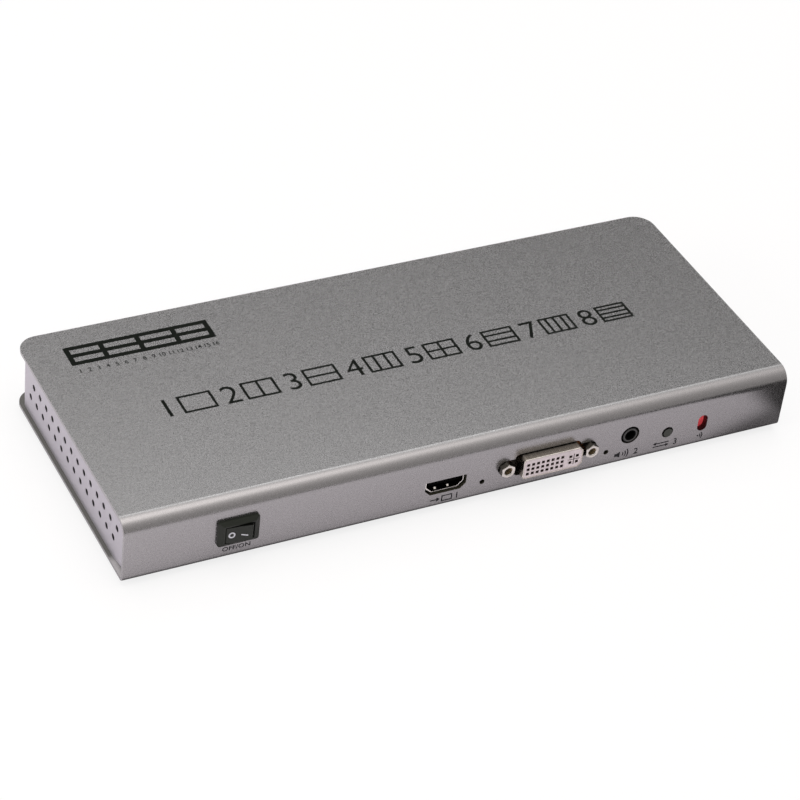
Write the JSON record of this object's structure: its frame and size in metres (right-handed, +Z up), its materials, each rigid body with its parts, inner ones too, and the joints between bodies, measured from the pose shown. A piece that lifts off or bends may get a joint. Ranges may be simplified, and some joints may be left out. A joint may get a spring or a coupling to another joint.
{
  "type": "video wall controller",
  "caption": "Slim grey metal box with rocker switch, video and audio sockets, push button and red remote window in front and output sockets recessed at the rear.",
  "frame": {"origin": "centre of the footprint on the surface that the rubber feet stand on", "axes": "+X along the front to the right seen from the front, +Y from the front to the rear, +Z up"},
  "size_m": [0.255, 0.1088, 0.0265],
  "materials": {
    "case_paint": "satin metallic",
    "chassis_paint": "satin metallic",
    "black_screw": "satin",
    "foot_rubber": "matte",
    "plated_brass": "satin",
    "bright_steel": "satin",
    "board_green": "satin",
    "switch_black": "satin",
    "wire_cover": "satin",
    "plug_white": "satin",
    "nickel_shell": "bright",
    "insert_white": "satin",
    "nickel_screw": "bright",
    "socket_black": "satin",
    "button_grey": "satin",
    "window_red": "gloss",
    "lamp_clear": "gloss",
    "chip_black": "matte",
    "pad_grey": "matte",
    "sink_aluminium": "satin",
    "can_aluminium": "satin",
    "coil_grey": "matte"
  },
  "bodies": {
    "case": {"wrap_shell": "case_paint", "vented_chassis": "chassis_paint", "case_screws": "black_screw", "rubber_feet": "foot_rubber", "board_standoffs": "plated_brass", "board_screws": "bright_steel", "circuit_board": "board_green", "switch_housing": "switch_black", "switch_terminals": "plated_brass", "switch_wires": "wire_cover", "switch_plug": "plug_white", "board_header": "plug_white", "pin_input_shell": "nickel_shell", "pin_input_insert": "insert_white", "pin_input_screws": "nickel_screw", "audio_jack_body": "socket_black", "audio_jack_pins": "bright_steel", "select_switch_body": "socket_black", "select_dome": "bright_steel", "remote_holder": "socket_black", "remote_window": "window_red", "remote_receiver": "socket_black", "indicator_lamps": "lamp_clear", "power_jack_body": "socket_black", "power_jack_pin": "nickel_screw", "main_chip": "chip_black", "thermal_pad": "pad_grey", "heat_sink": "sink_aluminium", "memory_chips": "chip_black", "transmitter_chips": "chip_black", "support_chips": "chip_black", "capacitors": "can_aluminium", "inductors": "coil_grey", "crystals": "bright_steel", "control_port_shell": "nickel_shell", "control_port_insert": "socket_black", "control_port_screws": "nickel_screw", "slim_input_shell": "nickel_shell", "slim_input_tongue": "socket_black", "output_1_shell": "nickel_shell", "output_1_tongue": "socket_black", "output_2_shell": "nickel_shell", "output_2_tongue": "socket_black", "output_3_shell": "nickel_shell", "output_3_tongue": "socket_black", "output_4_shell": "nickel_shell", "output_4_tongue": "socket_black"},
    "rocker": {"switch_rocker": "switch_black", "switch_plunger": "bright_steel"},
    "contact": {"switch_contact": "plated_brass"},
    "button": {"select_button": "button_grey"}
  },
  "joints": [
    {"name": "rocker_tilt", "type": "hinge", "parent": "case", "child": "rocker", "pos_m": [-0.0871, -0.0495, 0.0139], "axis": [0, 0, 1], "range_deg": [0, 12]},
    {"name": "contact_tilt", "type": "hinge", "parent": "case", "child": "contact", "pos_m": [-0.0871, -0.044, 0.0139], "axis": [0, 0, 1], "range_deg": [-10, 0]},
    {"name": "button_press", "type": "slide", "parent": "case", "child": "button", "axis": [0, 1, 0], "range_m": [0, 0.0003], "stiffness_N_per_m": 1200}
  ],
  "couplings": [
    {"joint": "contact_tilt", "follows": "rocker_tilt", "ratio": -0.83333}
  ]
}
